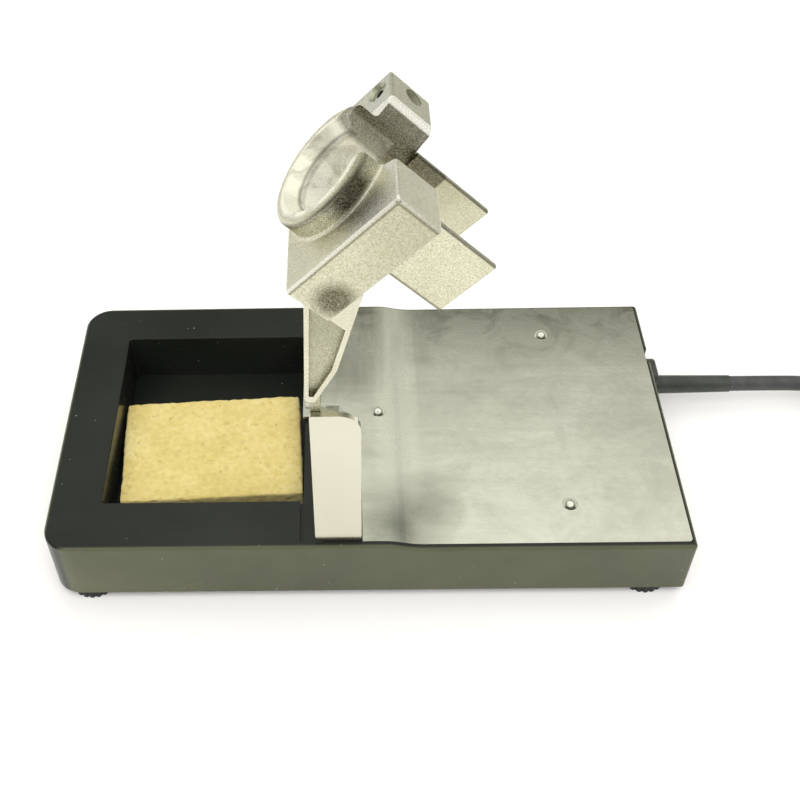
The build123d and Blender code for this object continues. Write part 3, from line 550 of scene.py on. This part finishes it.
def cover_material():
    s = Shader("cover_paint")
    tone = s.noise(60.0, 3.0)
    grain = s.noise(900.0, 4.0, 0.6)
    s.set(Base_Color=s.ramp(tone, (0.35, (0.03, 0.03, 0.03)), (0.65, (0.05, 0.05, 0.048))))
    s.set(Roughness=s.range(grain, 0.3, 0.7, 0.42, 0.58))
    s.bump(grain, 0.25, 0.0003)
    return s.material


steel = screw_material("screw_steel", (0.42, 0.42, 0.37), (0.60, 0.60, 0.54), 0.24)
bright = screw_material("rivet_bright", (0.80, 0.80, 0.72), (0.93, 0.93, 0.86), 0.12)
nickel = screw_material("plug_nickel", (0.70, 0.69, 0.64), (0.82, 0.81, 0.76), 0.10)
brass = screw_material("terminal_brass", (0.52, 0.42, 0.22), (0.66, 0.55, 0.32), 0.26)
cord_rubber = rubber_material("cord_grey", (0.050, 0.052, 0.055), (0.075, 0.077, 0.080), 0.50)
gland_rubber = rubber_material("gland_black", (0.034, 0.038, 0.034), (0.052, 0.057, 0.050), 0.45)
foot_rubber = rubber_material("foot_black", (0.012, 0.013, 0.012), (0.024, 0.025, 0.022), 0.55)
tie_plastic = rubber_material("tie_pale", (0.55, 0.55, 0.52), (0.66, 0.66, 0.62), 0.45)
grip_plastic = rubber_material("grip_black", (0.018, 0.018, 0.019), (0.030, 0.030, 0.031), 0.35)

NODE_MATERIALS = {
    "base_housing": housing_material(),
    "deck_plate": deck_material(),
    "upright": upright_material(),
    "tool_holder": casting_material(),
    "ballast_plate": cast_iron_material(),
    "bottom_cover": cover_material(),
    "deck_rivets": bright,
    "plug_sleeve": nickel,
    "plug_tip": nickel,
    "ring_terminal": brass,
    "earth_core": brass,
    "cord_inside": cord_rubber,
    "cable_grommet": gland_rubber,
    "strain_relief": gland_rubber,
    "plug_grip": grip_plastic,
    "plug_insulator": gland_rubber,
    "cable_tie": tie_plastic,
    "foot_front_left": foot_rubber,
    "foot_front_right": foot_rubber,
    "foot_back_left": foot_rubber,
    "foot_back_right": foot_rubber,
}
for name in (
    "ballast_screws", "cover_screws", "foot_screws", "rivet_washers", "bracket_screws",
    "holder_studs", "holder_washers", "spring_washers", "holder_nuts", "lug_screw", "earth_screw",
):
    NODE_MATERIALS[name] = steel


def dress(obj, material):
    """Give a piece one material, in place of all that it has."""
    if not obj.data.materials:
        obj.data.materials.append(material)
    for index in range(len(obj.data.materials)):
        obj.data.materials[index] = material


for name, material in NODE_MATERIALS.items():
    dress(bpy.data.objects[name], material)


def add_mesh(name, bm, material, body):
    mesh = bpy.data.meshes.new(name)
    bm.to_mesh(mesh)
    bm.free()
    for polygon in mesh.polygons:
        polygon.use_smooth = True
    obj = bpy.data.objects.new(name, mesh)
    scene.collection.objects.link(obj)
    mesh.materials.append(material)
    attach(obj, body)
    return obj


# Lead: the lying stretch, the put-away coil and the tail, as one smooth line. Lengths from here
# to the stage are in millimetres, and the coil's angles in degrees.
CORD = 4.9
LEAD = [
    (118.1, 25.5, 8.5),
    (128.0, 25.5, 8.5),
    (145.0, 25.7, 8.0),
    (158.0, 25.6, 4.15),
    (168.0, 25.5, 3.35),
]
TAIL = [
    (213.0, -19.3, 13.35),
    (214.1, -30.3, 11.95),
    (214.4, -44.3, 4.5),
    (214.4, -53.0, 4.5),
    (214.4, -56.0, 4.5),
]
COIL_X, COIL_Y = 182.0, -6.3
COIL_START = 31.8
COIL_PITCH = 5.15
COIL_PER_TURN = 16
COIL_END = 1890
COIL_FLOOR = 0.9
LAYER_HEIGHT = 5.0
LAST_TURN_RADIUS, LAST_TURN_BLEND = 31.0, 125
IN_TURN, OUT_TURN, RISE = 765, 1575, 100


def coil_radius(angle):
    """Two turns and a bit spiral in, as many out above them, and the last lies on top."""
    if angle <= IN_TURN:
        return COIL_START - COIL_PITCH * angle / 360
    inner = COIL_START - COIL_PITCH * IN_TURN / 360
    if angle <= OUT_TURN:
        return inner + COIL_PITCH * (angle - IN_TURN) / 360
    outer = inner + COIL_PITCH * (OUT_TURN - IN_TURN) / 360
    return outer + (LAST_TURN_RADIUS - outer) * min(1.0, (angle - OUT_TURN) / LAST_TURN_BLEND)


def step(t):
    """From 0 to 1 as t goes from 0 to 1, with soft ends."""
    return 0.5 - 0.5 * math.cos(math.pi * min(max(t, 0.0), 1.0))


def climbed(angle, middle):
    """How much of one layer's height is gained, around the angle where the climb is halfway."""
    return step((angle - middle + RISE / 2) / RISE)


def coil_points():
    """The curve's control points, set further out because it runs inside them."""
    pitch = 360 / COIL_PER_TURN
    spread = 1 / (0.75 + 0.25 * math.cos(math.radians(pitch)))
    points = []
    for index in range(1, int(COIL_END / pitch) + 1):
        angle = index * pitch
        radius = spread * coil_radius(angle)
        climb = climbed(angle, IN_TURN) + climbed(angle, OUT_TURN)
        turn = math.radians(angle)
        points.append((
            COIL_X + radius * math.sin(turn),
            COIL_Y + radius * math.cos(turn),
            CORD / 2 + COIL_FLOOR + LAYER_HEIGHT * climb,
        ))
    return points


def add_curve(name, points, radius, material, body, cyclic=False, resolution=8):
    curve = bpy.data.curves.new(name, "CURVE")
    curve.dimensions = "3D"
    curve.bevel_depth = radius
    curve.bevel_resolution = 5
    curve.resolution_u = resolution
    curve.use_fill_caps = True
    spline = curve.splines.new("NURBS")
    spline.points.add(len(points) - 1)
    for point, place in zip(spline.points, points):
        point.co = (*[value * MM for value in place], 1)
    spline.order_u = 3
    spline.use_endpoint_u = not cyclic
    spline.use_cyclic_u = cyclic
    obj = bpy.data.objects.new(name, curve)
    scene.collection.objects.link(obj)
    curve.materials.append(material)
    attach(obj, body)
    return obj


# The tie's loop round the coil's turns, as (outwards, up), and its twisted ends on top
TIE_WAY = Vector((-0.707, -0.707, 0))
TIE_SIDE = Vector((0.707, -0.707, 0))
TIE_LOOP = (
    (0.0, 0.5), (5.0, 0.5), (7.8, 2.0), (8.0, 7.0), (7.6, 12.0), (5.5, 15.6),
    (0.0, 16.3), (-5.5, 15.6), (-7.6, 12.0), (-8.0, 7.0), (-7.8, 2.0), (-5.0, 0.5),
)
TIE_RADIUS = 0.45
TWIST_RADIUS = 0.42
TWIST_BOTTOM = 16.4
TWIST_POINTS = 15
TWIST_ANGLE, TWIST_STEP = 1.1, 0.75
TWIST_OUT, TWIST_UP = 0.55, 0.5


def wire_tie():
    """A twist tie round the coil's section, with its twisted ends standing out."""
    centre = Vector((COIL_X, COIL_Y, 0)) + TIE_WAY * (COIL_START - COIL_PITCH)
    loop = [centre + TIE_WAY * out + Vector((0, 0, up)) for out, up in TIE_LOOP]
    band = add_curve("coil_tie", loop, TIE_RADIUS * MM, tie_plastic, "base", cyclic=True)
    start = centre + Vector((0, 0, TWIST_BOTTOM))
    ends = []
    for index in range(TWIST_POINTS):
        angle = index * TWIST_ANGLE
        place = start + TIE_SIDE * (index * TWIST_STEP) + TIE_WAY * (TWIST_OUT * math.cos(angle))
        ends.append(place + Vector((0, 0, TWIST_UP + TWIST_UP * math.sin(angle))))
    twist = add_curve("coil_tie_ends", ends, TWIST_RADIUS * MM, tie_plastic, "base", resolution=4)
    return band, twist


lead = add_curve(
    "cord", LEAD + coil_points()[:-1] + TAIL, CORD / 2 * MM, cord_rubber, "base", resolution=6
)
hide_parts("cord_lead", "cord_coil", "cord_tail")
tie, tie_ends = wire_tie()


# Sponge: a cut cellulose block with an uneven, pitted surface
SPONGE = (54.6, 39.5, 8.0)
SPONGE_CENTRE = (-46.4, -4.3, 11.3)
SPONGE_TURN = math.radians(3)
SPONGE_CELLS = (92, 66, 14)
SPONGE_ROUND = 0.9
# The surface's swell and two sizes of roughness: height, and how often it changes
SWELL, ROUGH, FINE_ROUGH = (0.35, 0.09), (0.22, 0.55), (0.12, 1.3)
PIT_EVERY, PIT_REACH, PIT_DEPTH = 0.42, 0.32, 1.5
SUNK = 0.25
UNDERSIDE = -0.5
WELD = 0.01


def box_mesh(half, counts):
    """A box whose sides are grids, with the edges welded."""
    bm = bmesh.new()
    for axis in range(3):
        u, v = (axis + 1) % 3, (axis + 2) % 3
        for side in (-1, 1):
            rows = []
            for i in range(counts[u] + 1):
                row = []
                for j in range(counts[v] + 1):
                    place = Vector((0, 0, 0))
                    place[axis] = side * half[axis]
                    place[u] = (2 * i / counts[u] - 1) * half[u]
                    place[v] = (2 * j / counts[v] - 1) * half[v]
                    row.append(bm.verts.new(place))
                rows.append(row)
            for i in range(counts[u]):
                for j in range(counts[v]):
                    corners = [rows[i][j], rows[i + 1][j], rows[i + 1][j + 1], rows[i][j + 1]]
                    bm.faces.new(corners if side > 0 else corners[::-1])
    bmesh.ops.remove_doubles(bm, verts=bm.verts, dist=WELD)
    return bm


def bumps(place, kind):
    height, often = kind
    return height * noise.noise(place * often)


def add_sponge():
    half = Vector(SPONGE) / 2
    bm = box_mesh(half, SPONGE_CELLS)
    turn = Matrix.Rotation(SPONGE_TURN, 3, "Z")
    for vert in bm.verts:
        inner = Vector([
            max(-h + SPONGE_ROUND, min(h - SPONGE_ROUND, c)) for c, h in zip(vert.co, half)
        ])
        out = vert.co - inner
        away = out.normalized() if out.length > 0 else Vector((0, 0, 1))
        place = inner + away * SPONGE_ROUND
        rough = bumps(place, ROUGH) + bumps(place, FINE_ROUGH)
        nearest = noise.voronoi(place * PIT_EVERY)[0][0]
        pit = max(0.0, PIT_REACH - nearest) * PIT_DEPTH
        move = bumps(place, SWELL) + rough - pit - SUNK
        if away.z < UNDERSIDE:
            move = 0.0
        place = place + away * move
        vert.co = (turn @ place + Vector(SPONGE_CENTRE)) * MM
    return add_mesh("sponge_block", bm, sponge_material(), "sponge")


sponge = add_sponge()
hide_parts("sponge")


# Stage: pale floor, soft studio light
FLOOR_HALF = 1.6


def make_stage():
    bm = bmesh.new()
    bmesh.ops.create_grid(bm, x_segments=8, y_segments=8, size=FLOOR_HALF)
    mesh = bpy.data.meshes.new("floor")
    bm.to_mesh(mesh)
    bm.free()
    floor = bpy.data.objects.new("floor", mesh)
    scene.collection.objects.link(floor)
    s = Shader("floor_pale")
    clouds = s.noise(3.0, 2.0)
    s.set(Base_Color=s.ramp(clouds, (0.3, (0.90, 0.893, 0.92)), (0.7, (0.92, 0.913, 0.94))))
    s.set(Roughness=0.9)
    mesh.materials.append(s.material)


# The room's light by height, 0 level and 1 straight up, and how far its dark front reaches:
# where it begins and where it is full, by depth and by height
ROOM_LEVELS = (
    (0.00, 0.84), (0.22, 0.76), (0.46, 0.32), (0.60, 0.20), (0.67, 0.30), (0.74, 0.88),
    (0.84, 1.08),
)
ROOM_BLUE = 0.91
FRONT_DEPTH = (0.1, -0.45)
FRONT_HEIGHT = (0.75, 0.45)
FRONT_COLOUR = (0.07, 0.065, 0.045, 1)
# Suns: turn in degrees and strength
SUNS = {
    "sun_front": ((38, 0, 18), 1.5), "sun_left": ((25, -35, 0), 0.9), "sun_back": ((-35, 15, 0), 0.7),
}
SUN_SPREAD = 60
SUN_COLOUR = (1.0, 0.99, 0.95)


def make_room():
    """Light overhead, pale walls low down with a greyer ring above them, and a dark front."""
    world = bpy.data.worlds.new("studio")
    scene.world = world
    world.use_nodes = True
    tree = world.node_tree
    tree.nodes.clear()
    link = tree.links.new
    coords = tree.nodes.new("ShaderNodeTexCoord")
    split = tree.nodes.new("ShaderNodeSeparateXYZ")
    ramp = tree.nodes.new("ShaderNodeValToRGB")
    shade = tree.nodes.new("ShaderNodeMath")
    shade.operation = "MULTIPLY"
    tint = tree.nodes.new("ShaderNodeMix")
    tint.data_type = "RGBA"
    background = tree.nodes.new("ShaderNodeBackground")
    out = tree.nodes.new("ShaderNodeOutputWorld")
    link(coords.outputs["Generated"], split.inputs["Vector"])
    link(split.outputs["Z"], ramp.inputs["Fac"])
    for socket, (axis, (begin, full)) in zip(shade.inputs, (("Y", FRONT_DEPTH), ("Z", FRONT_HEIGHT))):
        reach = tree.nodes.new("ShaderNodeMapRange")
        reach.inputs["From Min"].default_value = begin
        reach.inputs["From Max"].default_value = full
        link(split.outputs[axis], reach.inputs["Value"])
        link(reach.outputs["Result"], socket)
    link(shade.outputs["Value"], tint.inputs["Factor"])
    link(ramp.outputs["Color"], tint.inputs[MIX_A])
    tint.inputs[MIX_B].default_value = FRONT_COLOUR
    link(tint.outputs[MIX_RESULT], background.inputs["Color"])
    link(background.outputs["Background"], out.inputs["Surface"])
    stops = ramp.color_ramp.elements
    while len(stops) < len(ROOM_LEVELS):
        stops.new(0.5)
    for stop, (place, level) in zip(stops, ROOM_LEVELS):
        stop.position = place
        stop.color = (level, level, level * ROOM_BLUE, 1)


def add_suns():
    for name, (turn, energy) in SUNS.items():
        data = bpy.data.lights.new(name, "SUN")
        data.energy = energy
        data.angle = math.radians(SUN_SPREAD)
        data.color = SUN_COLOUR
        light = bpy.data.objects.new(name, data)
        light.rotation_euler = radians(turn)
        light.visible_glossy = False
        scene.collection.objects.link(light)


make_stage()
make_room()
add_suns()
scene.view_settings.view_transform = "Standard"
